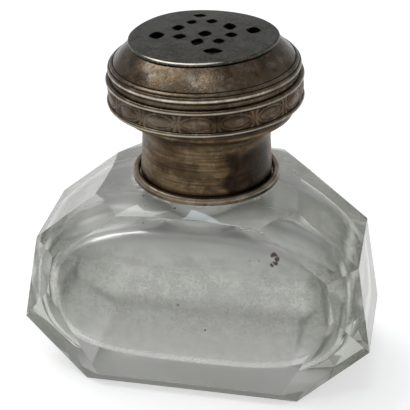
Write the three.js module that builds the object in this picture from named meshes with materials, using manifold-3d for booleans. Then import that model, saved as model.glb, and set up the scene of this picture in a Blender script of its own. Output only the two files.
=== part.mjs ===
// Salt shaker: a step-cut glass flask, a silver collar cemented on its neck
// and a pierced lid that screws on. Millimetres, +Z up.
// The origin is the middle of the foot, and a broad glass panel faces -Y.
// The neck and all that stands on it share one axis, a little to the right of the middle.
import * as THREE from "three";
import { ConvexGeometry } from "three/addons/geometries/ConvexGeometry.js";
import { mergeVertices } from "three/addons/utils/BufferGeometryUtils.js";
import Module from "manifold-3d";

// Glass, outside: widths run along X, depths along Y, heights from the table
const BODY_WIDTH = 70;
const BODY_DEPTH = 33.6;
const WIDEST_HEIGHT = 10.9;
const WIDEST_GIRDLE_DEPTH = 21.1;
const UPPER_WIDTH = 63.6;
const UPPER_HEIGHT = 29.5;
const UPPER_GIRDLE_DEPTH = 19.7;
const SHOULDER_WIDTH = 39.2;
const SHOULDER_HEIGHT = 40;
const SHOULDER_GIRDLE_DEPTH = 17.9;
const FOOT_WIDTH = 43.1;
const FOOT_DEPTH = 29;
const TOP_BEVEL = 6; // how far the panel's top corner lies in from the girdle's
const SIDE_BEVEL = 5.3; // the same at the panel's upper side corner
const PANEL_CORNER_HEIGHT = 21.5; // lower side corner of the panel
const FOOT_CHAMFER = 3; // height of the chamfer under the panel
const SHOULDER_RISE = 2.3; // from the shoulder's edge up to the collar's seat
const NECK_OFFSET = 0.5; // of the neck's axis from the middle of the foot, along X

// Glass, inside
const SIDE_WALL = 5.8;
const PANEL_WALL = 5.6;
const BASE_THICKNESS = 4.2;
const SHOULDER_WALL = 4.3;
const CAVITY_MIDDLE_HEIGHT = 19.5;
const CAVITY_OFFSET = -1.1; // of its middle from the neck's axis, along X
const ROOF_ROUNDNESS = 2.3; // exponents: 2 is an ellipse, more is squarer
const FLOOR_ROUNDNESS = 3.3;
const WALL_ROUNDNESS = 6; // of the edge all round the flat front and back walls

// Neck and its bedding
const NECK_WALL = 2.4;
const NECK_CLEARANCE = 0.3; // below the spigot
const CEMENT_THICKNESS = 1.6;
const CEMENT_DROP = 1; // below the neck's lip

// Collar
const COLLAR_HEIGHT = 14.9;
const COLLAR_WAIST_RADIUS = 12.35;
const COLLAR_WAIST_HEIGHT = 8; // above the collar's foot
const COLLAR_FOOT_FLARE = 0.45;
const COLLAR_WALL = 0.7;
const FOOT_RING_WIDTH = 1.4;
const FOOT_RING_HEIGHT = 1.4;
const FOOT_RING_GAP = 0.1;
const SEAT_INSET = 1.4; // in from the lid's radius
const SEAT_OVERHANG = 0.25;
const SEAT_THICKNESS = 0.8;

// Screw
const SPIGOT_BORE_RADIUS = 9.6;
const SPIGOT_WALL = 1;
const SPIGOT_HEIGHT = 6.2; // above the seat
const SPIGOT_ROOT = 1.2; // below the seat's underside
const THREAD_PITCH = 2;
const THREAD_DEPTH = 0.7;
const THREAD_ROOT_WIDTH = 0.9;
const THREAD_CREST_WIDTH = 0.45;
const THREAD_RUNOUT = 1.1; // plain length at each end of the spigot
const THREAD_CLEARANCE = 0.4;
const THREAD_SINK = 0.3; // how far a ridge is rooted in its tube
const LINER_TURNS = 1;
const LINER_WALL = 1;
const LINER_LIP_THICKNESS = 0.7;
const BEZEL_THICKNESS = 0.7;
const WASHER_THICKNESS = 1.3;
const WASHER_CLEARANCE = 0.15;

// Lid
const LID_RADIUS = 18.3; // of the ornament band's ground
const LID_WALL = 0.9;
const LID_GAP = 0.3; // between the lid and the collar's seat
const BOTTOM_BEAD_HEIGHT = 0.95;
const BAND_HEIGHT = 3.25;
const LOWER_BEAD_HEIGHT = 1.05;
const MOULDING_INSET = 0.5; // of the upper bead's ground, in from the lid's radius
const COVE_HEIGHT = 0.95;
const COVE_DEPTH = 0.2;
const UPPER_BEAD_HEIGHT = 1.3;
const UPPER_BEAD_SWEEP = 60; // degrees of its round above and below the middle
const FILLET_HEIGHT = 0.6;
const BEAD_PROJECTION = 0.4;
const DOME_HEIGHT = 3.3;
const DOME_INSET = 0.7; // of its foot, in from the moulding's radius
const DOME_WALL = 0.6;
const DOME_BULGE = 0.15;
const PLATE_RADIUS = 13.7;
const PLATE_THICKNESS = 0.7;
const PLATE_OVERHANG = 0.3;
const SOLDER_GAP = 0.05;

// Ornament and piercing
const OVAL_COUNT = 16;
const OVAL_SPACING = 1.8; // bare ground between two ovals
const OVAL_MARGIN = 0.3; // bare ground above and below
const OVAL_RELIEF = 0.4;
const OVAL_TURN = 6; // degrees
const HOLE_LENGTH = 2.3;
const HOLE_BREADTH = 1.9;
const INNER_HOLE_COUNT = 8;
const INNER_HOLE_RADIUS = 5.4;
const OUTER_HOLE_COUNT = 4;
const OUTER_HOLE_RADIUS = 9;
const PIERCING_TURN = 15; // degrees

// Facets of the round work
const ROUND_SEGMENTS = 36;
const THREAD_STEPS = 24; // per turn
const BEAD_STEPS = 6;
const COVE_STEPS = 4;
const FLARE_STEPS = 7;
const DOME_STEPS = 6;
const CAVITY_SEGMENTS = 40;
const CAVITY_RINGS = 18;
const OVAL_SEGMENTS = 10;
const OVAL_RINGS = 6;
const HOLE_SIDES = 4;
const CUT_OVERRUN = 1; // how far a cutting solid passes the face it cuts
const MERGE_DISTANCE = 1e-4;

const wasm = await Module();
wasm.setup();

function solid(geometry) {
  const bare = geometry.clone();
  bare.deleteAttribute("normal");
  bare.deleteAttribute("uv");
  const merged = mergeVertices(bare, MERGE_DISTANCE);
  const mesh = new wasm.Mesh({
    numProp: 3,
    vertProperties: new Float32Array(merged.attributes.position.array),
    triVerts: new Uint32Array(merged.index.array),
  });
  return new wasm.Manifold(mesh);
}

function geometryOf(body) {
  const mesh = body.getMesh();
  const geometry = new THREE.BufferGeometry();
  geometry.setAttribute("position", new THREE.BufferAttribute(mesh.vertProperties, 3));
  geometry.setIndex(new THREE.BufferAttribute(mesh.triVerts, 1));
  geometry.computeVertexNormals();
  return geometry;
}

// A ring turned about Z from a closed outline of [radius, height] points, given counter-clockwise.
function turned(outline) {
  const points = [...outline, outline[0]].map(([r, z]) => new THREE.Vector2(r, z));
  return new THREE.LatheGeometry(points, ROUND_SEGMENTS).rotateX(Math.PI / 2);
}

// An upright solid cylinder about Z.
function rod(radius, low, high) {
  const geometry = new THREE.CylinderGeometry(radius, radius, high - low, ROUND_SEGMENTS);
  return geometry.rotateX(Math.PI / 2).translate(0, 0, (low + high) / 2);
}

// A plain ring of rectangular section.
const hoop = (inner, outer, low, high) =>
  turned([
    [inner, low],
    [outer, low],
    [outer, high],
    [inner, high],
  ]);

// Points of an elliptical arc in the radius and height plane, angles in degrees.
function arc(radius, height, alongRadius, alongHeight, from, to, steps) {
  return Array.from({ length: steps + 1 }, (_, i) => {
    const angle = THREE.MathUtils.degToRad(from + ((to - from) * i) / steps);
    return [radius + alongRadius * Math.cos(angle), height + alongHeight * Math.sin(angle)];
  });
}

// A ring whose outer side swells into a half-round bead.
const beadRing = (inner, base, projection, low, high) =>
  turned([
    [inner, low],
    ...arc(base, (low + high) / 2, projection, (high - low) / 2, -90, 90, BEAD_STEPS),
    [inner, high],
  ]);

// One helical ridge rising counter-clockwise, its section standing from the root to the crest radius.
function helicalRidge(rootRadius, crestRadius, turns, startHeight) {
  const steps = Math.round(turns * THREAD_STEPS);
  const outward = crestRadius > rootRadius;
  const sunkRadius = outward ? rootRadius - THREAD_SINK : rootRadius + THREAD_SINK;
  const section = [
    [sunkRadius, -THREAD_ROOT_WIDTH / 2],
    [crestRadius, -THREAD_CREST_WIDTH / 2],
    [crestRadius, THREAD_CREST_WIDTH / 2],
    [sunkRadius, THREAD_ROOT_WIDTH / 2],
  ];
  if (!outward) section.reverse();
  const position = [];
  for (let i = 0; i <= steps; i++) {
    const angle = (2 * Math.PI * i) / THREAD_STEPS;
    const height = startHeight + (THREAD_PITCH * i) / THREAD_STEPS;
    for (const [r, z] of section) position.push(r * Math.cos(angle), r * Math.sin(angle), height + z);
  }
  const index = [0, 1, 2, 0, 2, 3];
  const last = 4 * steps;
  index.push(last, last + 2, last + 1, last, last + 3, last + 2);
  for (let i = 0; i < steps; i++)
    for (let k = 0; k < 4; k++) {
      const a = 4 * i + k;
      const b = 4 * i + ((k + 1) % 4);
      index.push(a, a + 4, b, b, a + 4, b + 4);
    }
  const geometry = new THREE.BufferGeometry();
  geometry.setAttribute("position", new THREE.Float32BufferAttribute(position, 3));
  geometry.setIndex(index);
  return geometry;
}

// Heights of the pieces, from the table up
const collarFoot = SHOULDER_HEIGHT + SHOULDER_RISE;
const seatLow = collarFoot + COLLAR_HEIGHT;
const spigotLow = seatLow - SPIGOT_ROOT;
const neckTop = spigotLow - NECK_CLEARANCE;
const seatTop = seatLow + SEAT_THICKNESS;
const spigotTop = seatTop + SPIGOT_HEIGHT;
const lidLow = seatTop + LID_GAP;
const bandLow = lidLow + BOTTOM_BEAD_HEIGHT;
const lowerBeadLow = bandLow + BAND_HEIGHT;
const mouldingLow = lowerBeadLow + LOWER_BEAD_HEIGHT;
const upperBeadLow = mouldingLow + COVE_HEIGHT;
const filletLow = upperBeadLow + UPPER_BEAD_HEIGHT;
const domeLow = filletLow + FILLET_HEIGHT;
const plateLow = domeLow + DOME_HEIGHT;

// Radii that several pieces share
const collarFootRadius = COLLAR_WAIST_RADIUS + COLLAR_FOOT_FLARE;
const footRingInner = collarFootRadius + FOOT_RING_GAP;
const footRingOuter = footRingInner + FOOT_RING_WIDTH;
const cementOuter = COLLAR_WAIST_RADIUS - COLLAR_WALL - SOLDER_GAP;
const cementInner = cementOuter - CEMENT_THICKNESS;
const neckRadius = cementInner - SOLDER_GAP;
const spigotRoot = SPIGOT_BORE_RADIUS + SPIGOT_WALL;
const spigotCrest = spigotRoot + THREAD_DEPTH;
const linerCrest = spigotRoot + THREAD_CLEARANCE;
const linerRoot = spigotCrest + THREAD_CLEARANCE;
const linerOuter = linerRoot + LINER_WALL;
const lidInner = LID_RADIUS - LID_WALL;
const mouldingRadius = LID_RADIUS - MOULDING_INSET;
const domeRadius = mouldingRadius - DOME_INSET;
const seatRadius = LID_RADIUS - SEAT_INSET;

// The glass is cut in flat facets between a girdle of four corners a side and the two broad panels.
function facetCorners() {
  const panel = -BODY_DEPTH / 2;
  const shoulder = new THREE.Vector3(SHOULDER_WIDTH / 2, -SHOULDER_GIRDLE_DEPTH / 2, SHOULDER_HEIGHT);
  const upper = new THREE.Vector3(UPPER_WIDTH / 2, -UPPER_GIRDLE_DEPTH / 2, UPPER_HEIGHT);
  const widest = new THREE.Vector3(BODY_WIDTH / 2, -WIDEST_GIRDLE_DEPTH / 2, WIDEST_HEIGHT);
  const foot = new THREE.Vector3(FOOT_WIDTH / 2, -FOOT_DEPTH / 2, 0);
  const facet = (a, b, c) => new THREE.Plane().setFromCoplanarPoints(a, b, c);
  const heightOn = ({ normal, constant }, x) => -(constant + normal.x * x + normal.y * panel) / normal.z;
  const widthOn = ({ normal, constant }, z) => -(constant + normal.y * panel + normal.z * z) / normal.x;

  const panelTop = new THREE.Vector3(shoulder.x - TOP_BEVEL, panel, SHOULDER_HEIGHT);
  const sideX = upper.x - SIDE_BEVEL;
  const panelSide = new THREE.Vector3(sideX, panel, heightOn(facet(shoulder, upper, panelTop), sideX));
  const cornerX = widthOn(facet(upper, widest, panelSide), PANEL_CORNER_HEIGHT);
  const panelCorner = new THREE.Vector3(cornerX, panel, PANEL_CORNER_HEIGHT);
  const footX = widthOn(facet(widest, foot, panelCorner), FOOT_CHAMFER);
  const panelFoot = new THREE.Vector3(footX, panel, FOOT_CHAMFER);
  return [shoulder, upper, widest, foot, panelTop, panelSide, panelCorner, panelFoot];
}

// Built about the neck's axis, like every other piece.
function glassBody() {
  const corners = [];
  for (const { x, y, z } of facetCorners())
    for (const sx of [1, -1])
      for (const sy of [1, -1]) corners.push(new THREE.Vector3(sx * x - NECK_OFFSET, sy * y, z));
  for (let i = 0; i < ROUND_SEGMENTS; i++) {
    const angle = (2 * Math.PI * i) / ROUND_SEGMENTS;
    const rim = new THREE.Vector3(Math.cos(angle), Math.sin(angle)).multiplyScalar(footRingOuter);
    corners.push(rim.setZ(collarFoot));
  }
  const block = solid(new ConvexGeometry(corners));
  const neck = solid(rod(neckRadius, SHOULDER_HEIGHT, neckTop));
  const bore = solid(rod(neckRadius - NECK_WALL, CAVITY_MIDDLE_HEIGHT, neckTop + CUT_OVERRUN));
  return geometryOf(block.add(neck).subtract(solid(cavity())).subtract(bore));
}

// The blown hollow: flat front and back walls, outlined by a squared ellipse and rounded at the edge.
function cavity() {
  const halfWidth = BODY_WIDTH / 2 - SIDE_WALL;
  const halfDepth = BODY_DEPTH / 2 - PANEL_WALL;
  const roof = SHOULDER_HEIGHT - SHOULDER_WALL - CAVITY_MIDDLE_HEIGHT;
  const floor = CAVITY_MIDDLE_HEIGHT - BASE_THICKNESS;
  const norm = (a, b, power) => (Math.abs(a) ** power + Math.abs(b) ** power) ** (1 / power);
  const geometry = new THREE.SphereGeometry(1, CAVITY_SEGMENTS, CAVITY_RINGS).rotateX(Math.PI / 2);
  const { position } = geometry.attributes;
  for (let i = 0; i < position.count; i++) {
    const x = position.getX(i);
    const y = position.getY(i);
    const z = position.getZ(i);
    const outline = norm(x, z, z > 0 ? ROOF_ROUNDNESS : FLOOR_ROUNDNESS);
    const reach = 1 / norm(outline, y, WALL_ROUNDNESS);
    const height = CAVITY_MIDDLE_HEIGHT + (z > 0 ? roof : floor) * z * reach;
    position.setXYZ(i, CAVITY_OFFSET + halfWidth * x * reach, halfDepth * y * reach, height);
  }
  return geometry;
}

const neckCement = () => hoop(cementInner, cementOuter, collarFoot + SOLDER_GAP, neckTop - CEMENT_DROP);

// The collar is waisted: it flares a little to its foot and like a trumpet to its seat.
function collarSleeve() {
  const waist = collarFoot + COLLAR_WAIST_HEIGHT;
  const rim = seatRadius - SEAT_OVERHANG;
  const reach = rim - COLLAR_WAIST_RADIUS;
  const innerRise = seatLow - SOLDER_GAP - waist;
  const outerRise = innerRise - COLLAR_WALL;
  const outside = arc(rim, waist, reach, outerRise, 180, 90, FLARE_STEPS);
  const inside = arc(rim, waist, reach + COLLAR_WALL, innerRise, 90, 180, FLARE_STEPS);
  const low = collarFoot + SOLDER_GAP;
  return turned([
    [collarFootRadius - COLLAR_WALL, low],
    [collarFootRadius, low],
    ...outside,
    ...inside,
  ]);
}

const footRing = () =>
  turned([
    [footRingInner, collarFoot + SOLDER_GAP],
    [footRingOuter, collarFoot + SOLDER_GAP],
    ...arc(
      footRingInner + FOOT_RING_WIDTH / 2,
      collarFoot + FOOT_RING_HEIGHT / 2,
      FOOT_RING_WIDTH / 2,
      FOOT_RING_HEIGHT / 2,
      0,
      180,
      BEAD_STEPS,
    ),
  ]);

const seatDisc = () => hoop(spigotRoot + SOLDER_GAP, seatRadius, seatLow, seatTop);

const threadStart = seatTop + THREAD_RUNOUT;

function threadedSpigot() {
  const tube = hoop(SPIGOT_BORE_RADIUS, spigotRoot, spigotLow, spigotTop);
  const turns = (SPIGOT_HEIGHT - 2 * THREAD_RUNOUT) / THREAD_PITCH;
  return geometryOf(solid(tube).add(solid(helicalRidge(spigotRoot, spigotCrest, turns, threadStart))));
}

const washerLow = spigotTop + SOLDER_GAP;
const linerTop = washerLow + WASHER_THICKNESS + SOLDER_GAP;

const sealingWasher = () =>
  hoop(SPIGOT_BORE_RADIUS, linerCrest - WASHER_CLEARANCE, washerLow, washerLow + WASHER_THICKNESS);

// The lid's screw: a tube with a bezel at its mouth and a lip over the washer, its ridge half a pitch up.
function threadLiner() {
  const bezelLow = lidLow + SOLDER_GAP;
  const body = turned([
    [linerRoot, bezelLow],
    [lidInner - SOLDER_GAP, bezelLow],
    [lidInner - SOLDER_GAP, bezelLow + BEZEL_THICKNESS],
    [linerOuter, bezelLow + BEZEL_THICKNESS],
    [linerOuter, linerTop + LINER_LIP_THICKNESS],
    [SPIGOT_BORE_RADIUS, linerTop + LINER_LIP_THICKNESS],
    [SPIGOT_BORE_RADIUS, linerTop],
    [linerRoot, linerTop],
  ]);
  const ridge = helicalRidge(linerRoot, linerCrest, LINER_TURNS, threadStart + THREAD_PITCH / 2);
  return geometryOf(solid(body).add(solid(ridge)));
}

const bottomBeadWire = () =>
  beadRing(lidInner, LID_RADIUS, BEAD_PROJECTION, lidLow, bandLow - SOLDER_GAP);

function ornamentBand() {
  let band = solid(hoop(lidInner, LID_RADIUS, bandLow, lowerBeadLow - SOLDER_GAP));
  const middle = (bandLow + lowerBeadLow - SOLDER_GAP) / 2;
  const ovalWidth = (2 * Math.PI * LID_RADIUS) / OVAL_COUNT - OVAL_SPACING;
  const ovalHeight = BAND_HEIGHT - SOLDER_GAP - 2 * OVAL_MARGIN;
  for (let i = 0; i < OVAL_COUNT; i++) {
    const oval = new THREE.SphereGeometry(1, OVAL_SEGMENTS, OVAL_RINGS);
    oval.scale(OVAL_RELIEF, ovalWidth / 2, ovalHeight / 2).translate(LID_RADIUS, 0, middle);
    oval.rotateZ(THREE.MathUtils.degToRad(OVAL_TURN + (360 * i) / OVAL_COUNT));
    band = band.add(solid(oval));
  }
  return geometryOf(band);
}

const lowerBeadRing = () =>
  beadRing(lidInner, LID_RADIUS, BEAD_PROJECTION, lowerBeadLow, mouldingLow - SOLDER_GAP);

function upperBeadRing() {
  const coveMiddle = (mouldingLow + upperBeadLow) / 2;
  const beadMiddle = (upperBeadLow + filletLow) / 2;
  return turned([
    [mouldingRadius - LID_WALL, mouldingLow],
    ...arc(mouldingRadius, coveMiddle, COVE_DEPTH, COVE_HEIGHT / 2, 270, 90, COVE_STEPS),
    ...arc(
      mouldingRadius,
      beadMiddle,
      BEAD_PROJECTION,
      UPPER_BEAD_HEIGHT / 2,
      -UPPER_BEAD_SWEEP,
      UPPER_BEAD_SWEEP,
      COVE_STEPS,
    ),
    [mouldingRadius, filletLow],
    [domeRadius, domeLow - SOLDER_GAP],
    [domeRadius - DOME_WALL, domeLow - SOLDER_GAP],
  ]);
}

// A thin shell that swells between the moulding and the plate.
function domeShell() {
  const rim = PLATE_RADIUS - PLATE_OVERHANG;
  const swell = (inset, along) => {
    const bulge = DOME_BULGE * Math.sin(Math.PI * along);
    const slope = Math.hypot(domeRadius - rim, DOME_HEIGHT);
    return [
      domeRadius - inset - (domeRadius - rim) * along + (bulge * DOME_HEIGHT) / slope,
      domeLow + (DOME_HEIGHT - SOLDER_GAP) * along + (bulge * (domeRadius - rim)) / slope,
    ];
  };
  const along = Array.from({ length: DOME_STEPS + 1 }, (_, i) => i / DOME_STEPS);
  const outside = along.map((t) => swell(0, t));
  const inside = along.map((t) => swell(DOME_WALL, 1 - t));
  return turned([...outside, ...inside]);
}

// Lozenge holes: one in the middle, a ring round it and four further out.
function piercedPlate() {
  let plate = solid(rod(PLATE_RADIUS, plateLow, plateLow + PLATE_THICKNESS));
  const places = [[0, 0]];
  const turn = THREE.MathUtils.degToRad(PIERCING_TURN);
  for (let i = 0; i < INNER_HOLE_COUNT; i++)
    places.push([INNER_HOLE_RADIUS, turn + (2 * Math.PI * (i + 0.5)) / INNER_HOLE_COUNT]);
  for (let i = 0; i < OUTER_HOLE_COUNT; i++)
    places.push([OUTER_HOLE_RADIUS, turn + (2 * Math.PI * i) / OUTER_HOLE_COUNT]);
  for (const [radius, angle] of places) {
    const punch = new THREE.CylinderGeometry(1, 1, PLATE_THICKNESS + 2 * CUT_OVERRUN, HOLE_SIDES);
    punch.rotateX(Math.PI / 2).scale(HOLE_LENGTH / 2, HOLE_BREADTH / 2, 1);
    punch.translate(radius * Math.cos(angle), radius * Math.sin(angle), plateLow + PLATE_THICKNESS / 2);
    plate = plate.subtract(solid(punch));
  }
  return geometryOf(plate);
}

const silver = (color) => new THREE.MeshStandardMaterial({ color, roughness: 0.38, metalness: 1 });

function part(name, geometry, material) {
  const mesh = new THREE.Mesh(geometry, material);
  mesh.name = name;
  return mesh;
}

const glass = new THREE.MeshStandardMaterial({
  color: 0xd9dfd6,
  roughness: 0.03,
  metalness: 0,
  transparent: true,
  opacity: 0.35,
});
const plaster = new THREE.MeshStandardMaterial({ color: 0xd8d2c4, roughness: 0.9, metalness: 0 });
const leather = new THREE.MeshStandardMaterial({ color: 0x6b4a2f, roughness: 0.8, metalness: 0 });

const flask = new THREE.Group();
flask.add(part("glass_body", glassBody(), glass));
flask.add(part("neck_cement", neckCement(), plaster));
flask.add(part("collar_sleeve", collarSleeve(), silver(0x6e5f4c)));
flask.add(part("foot_ring", footRing(), silver(0x54493c)));
flask.add(part("seat_disc", seatDisc(), silver(0x5f5343)));
flask.add(part("threaded_spigot", threadedSpigot(), silver(0x8a7a62)));

const lid = new THREE.Group();
lid.add(part("thread_liner", threadLiner(), silver(0x8a7a62)));
lid.add(part("bottom_bead_wire", bottomBeadWire(), silver(0x8f8676)));
lid.add(part("ornament_band", ornamentBand(), silver(0x6a5848)));
lid.add(part("lower_bead_ring", lowerBeadRing(), silver(0x7d7464)));
lid.add(part("upper_bead_ring", upperBeadRing(), silver(0x756a58)));
lid.add(part("dome", domeShell(), silver(0x6f5d4b)));
lid.add(part("pierced_plate", piercedPlate(), silver(0x565650)));

const shaker = new THREE.Group();
shaker.add(flask, lid, part("sealing_washer", sealingWasher(), leather));
shaker.position.x = NECK_OFFSET;

export default shaker;
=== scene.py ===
"""Salt shaker: a step-cut glass flask with a tarnished silver collar and a pierced screw lid."""

import math

import bmesh
import bpy
import numpy as np
from mathutils import Matrix, Vector, noise


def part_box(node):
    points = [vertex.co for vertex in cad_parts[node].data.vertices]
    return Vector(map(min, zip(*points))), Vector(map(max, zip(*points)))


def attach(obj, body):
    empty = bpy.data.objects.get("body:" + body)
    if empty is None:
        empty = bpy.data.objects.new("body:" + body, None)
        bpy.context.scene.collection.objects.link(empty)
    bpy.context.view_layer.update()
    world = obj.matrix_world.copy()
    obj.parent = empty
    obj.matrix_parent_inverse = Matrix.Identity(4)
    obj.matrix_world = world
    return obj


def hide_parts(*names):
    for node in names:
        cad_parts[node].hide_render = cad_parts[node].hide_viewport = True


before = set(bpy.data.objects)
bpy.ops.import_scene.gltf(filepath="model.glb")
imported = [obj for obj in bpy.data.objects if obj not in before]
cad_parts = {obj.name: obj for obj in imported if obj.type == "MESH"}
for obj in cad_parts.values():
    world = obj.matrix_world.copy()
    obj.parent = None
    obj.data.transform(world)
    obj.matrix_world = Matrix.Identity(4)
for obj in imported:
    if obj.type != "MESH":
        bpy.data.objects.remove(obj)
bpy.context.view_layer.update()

MM = 0.001

# View: where the photograph was taken from, round the object's own axis
PHOTO_SIDE = 410  # pixels
FOCAL_LENGTH = 1334  # pixels
VIEW_AZIMUTH = math.radians(10.77)
VIEW_ELEVATION = math.radians(29.1)
VIEW_DISTANCE = 264.4 * MM
VIEW_AIM = Vector((0.19, 0.04, 34.6)) * MM
SENSOR = 36  # millimetres

# Stage and lights
FLOOR_SIDE = 6.0
FLOOR_DROP = 0.02 * MM
FLOOR_COLOUR = (0.7, 0.7, 0.7)
FLOOR_GLOW = 0.53
WORLD_COLOUR = (0.45, 0.45, 0.45)
KEY_FROM = Vector((-0.50, 0.15, 0.86))
KEY_STRENGTH = 1.0
KEY_ANGLE = math.radians(35)
LAMP_SIDE = 0.2
LAMPS = (
    ("cool_lamp", Vector((-0.035, -0.21, 0.73)), (0.84, 0.93, 1.0), 0.75),
    ("warm_lamp", Vector((-0.385, -0.12, 0.64)), (1.0, 0.92, 0.80), 0.3),
)
BOUNCES = 32  # light stays long inside the cut glass

# Glass
SHOULDER_ARCH = 0.02  # rise of the shoulder's edge, as a share of each side's length
SHOULDER_SWELL = 0.12  # of the shoulder above a straight slope
SEAT_MARGIN = 0.2 * MM  # flat glass past the foot ring
SEAT_GAP = 0.05 * MM  # between that flat and the ring
BLOCK_RADIUS = 60 * MM
BLOCK_LOW = -10 * MM
NECK_RADIUS = 9.95 * MM
NECK_WALL = 2.4 * MM
LIP_ROUND = 0.5 * MM
HOLLOW_HALF_WIDTH = 29.2 * MM
HOLLOW_HALF_DEPTH = 11.2 * MM
HOLLOW_MIDDLE = 19.5 * MM
HOLLOW_ROOF = 35.7 * MM
HOLLOW_FLOOR = 4.2 * MM
HOLLOW_SHIFT = -1.1 * MM  # of the hollow from the neck's axis
ROOF_ROUNDNESS = 2.3  # exponents: 2 is an ellipse, more is squarer
FLOOR_ROUNDNESS = 3.3
WALL_ROUNDNESS = 6.0
BORE_FILLET = 1.5 * MM
HOLLOW_ROWS = 64
JOIN_DISTANCE = 0.001 * MM
ARRIS_WIDTH = 0.16 * MM
ARRIS_ANGLE = math.radians(5)  # facets that meet at less have no worn edge
FLAT_TOLERANCE = 0.01 * MM
SAME_PLANE = 0.9999  # cosine between the normals of one facet
CUT_TOLERANCE = 0.0001 * MM
GLASS_SEGMENTS = 192

# Finish of the glass: where each effect starts and where it is full
DUST_BELOW = (33 * MM, 28 * MM)  # heights, for salt dust in the hollow
DUST_THICKENS = (11 * MM, 18 * MM)
CAKED_ABOVE = (25 * MM, 30 * MM)  # salt caked under the hollow's roof
CAKED_BESIDE = (3 * MM, 6 * MM)  # from the middle of the depth
SOLE_BELOW = (0.3 * MM, 0.1 * MM)
CHAMFER_BELOW = (3.1 * MM, 2.7 * MM)
CHAMFER_BESIDE = (14.4 * MM, 14.7 * MM)
SIDES_BEYOND = (20 * MM, 28 * MM)  # from the axis, for the side facets painted darker as shade
CLEAR = (1.0, 1.0, 1.0)
CLEAR_INSIDE = (1.0, 1.0, 0.99)
SIDE_GLASS_SHADE = (0.54, 0.55, 0.51)
DUSTY_GLASS = (0.76, 0.76, 0.75)
PITTED_GLASS = (0.6, 0.6, 0.57)
CHAMFER_GLASS_SHADE = (0.42, 0.42, 0.385)
DIRT_COLOUR = (0.055, 0.028, 0.012)
GLASS_IOR = 1.5
GLASS_TINT = (0.45, 0.48, 0.38)
GLASS_DENSITY = 14.0

# Silver
SILVER_SEGMENTS = 160
EDGE_ROUND = 0.12 * MM
SHARP_CORNER = math.radians(28)  # corners of an outline that turn more are rounded
CORNER_STEPS = 4
SMOOTH_ANGLE = math.radians(40)  # faces that meet at less are shaded smooth
BAND_SMOOTH_ANGLE = math.radians(60)
NOISE_RADIUS = 14  # millimetres, of the cylinder that dents are laid on
COLLAR_WAIST_RADIUS = 12.35 * MM
COLLAR_WAIST_HEIGHT = 8 * MM  # above the foot
COLLAR_FOOT_RADIUS = 12.8 * MM
COLLAR_WALL = 0.7 * MM
RING_INNER_RADIUS = 12.9 * MM
SEAT_INNER_RADIUS = 10.65 * MM
SEAT_OVERHANG = 0.1 * MM
BOTTOM_BEAD_INNER_RADIUS = 17.9 * MM
LOWER_BEAD_INNER_RADIUS = 17.4 * MM
BAND_THICKNESS = 0.9 * MM
BAND_RECESS = 0.05 * MM  # of the band's ground
LID_TILT = math.radians(-2.1)  # the lid sits askew on its worn thread
LID_SLIP = Vector((-0.17, 0, 0)) * MM  # and a little to one side
BEAD_PROJECTION = 0.4 * MM
OVAL_COUNT = 16
OVAL_TURN = math.radians(6)
# Rubbed silver of the moulding's crests, bright enough to stand for their highlights too: wear with a
# painted highlight
RUBBED_SILVER_AND_HIGHLIGHT = (0.88, 0.82, 0.70)
LID_COLOURS = (  # ground, warm, dark and bright
    (0.15, 0.122, 0.087),
    (0.11, 0.078, 0.05),
    (0.013, 0.010, 0.006),
    (0.40, 0.36, 0.30),
)
FRONT_LEFT = math.radians(-98)  # where the rubbed crests are strongest, as a painted highlight

# Wear on silver edges and tarnish in the hollows
WEAR_REACH = 0.18 * MM
WEAR_BEND = 1.3  # per millimetre
SEAM_REACH = 0.16 * MM
SEAM_DARK = 1.0
HOLLOW_DARK = 0.35
CREST_SHARPNESS = 9

# From the frame
BOXES = {node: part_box(node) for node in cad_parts}
COLLAR_LOW, COLLAR_HIGH = BOXES["collar_sleeve"]
AXIS = Vector(((COLLAR_LOW.x + COLLAR_HIGH.x) / 2, 0, 0))  # of the neck and lid


def low(node):
    """Height of the node's lowest point."""
    return BOXES[node][0].z


def high(node):
    """Height of the node's highest point."""
    return BOXES[node][1].z


def reach(node):
    """Outer radius of a round node."""
    return (BOXES[node][1].x - BOXES[node][0].x) / 2


LID_RADIUS = reach("lower_bead_ring") - BEAD_PROJECTION  # of the lid under its beads
MOULDING_RADIUS = reach("upper_bead_ring") - BEAD_PROJECTION


# Meshes

def new_mesh(name, points, faces):
    """A mesh of these points and faces."""
    mesh = bpy.data.meshes.new(name)
    mesh.from_pydata(points, [], faces)
    return mesh


def new_object(name, data):
    """An object in the scene that shows this mesh, light or camera."""
    item = bpy.data.objects.new(name, data)
    bpy.context.scene.collection.objects.link(item)
    return item


def new_piece(name, mesh, body, nodes, material):
    """Adds a mesh made round the neck's axis to the scene."""
    mesh.transform(Matrix.Translation(AXIS))
    piece = new_object(name, mesh)
    mesh.materials.append(material)
    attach(piece, body)
    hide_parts(*nodes)


def grid_faces(rows, columns, closed_section):
    """Quads of a grid that closes round its columns and, for a closed section, round its rows."""
    faces = []
    for i in range(rows if closed_section else rows - 1):
        a, b = i * columns, (i + 1) % rows * columns
        for j in range(columns):
            k = (j + 1) % columns
            faces.append((a + j, a + k, b + k, b + j))
    return faces


def set_values(mesh, name, values):
    """Keeps one number per point of the mesh for its material to read."""
    layer = mesh.attributes.new(name, "FLOAT", "POINT")
    layer.data.foreach_set("value", np.asarray(values, np.float32).ravel())


def arc(radius, height, along_radius, along_height, start, end, steps):
    """Points of an elliptic arc in the section's plane, from a start to an end in degrees."""
    angles = np.radians(np.linspace(start, end, steps + 1))
    return [(radius + along_radius * math.cos(a), height + along_height * math.sin(a)) for a in angles]


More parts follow.
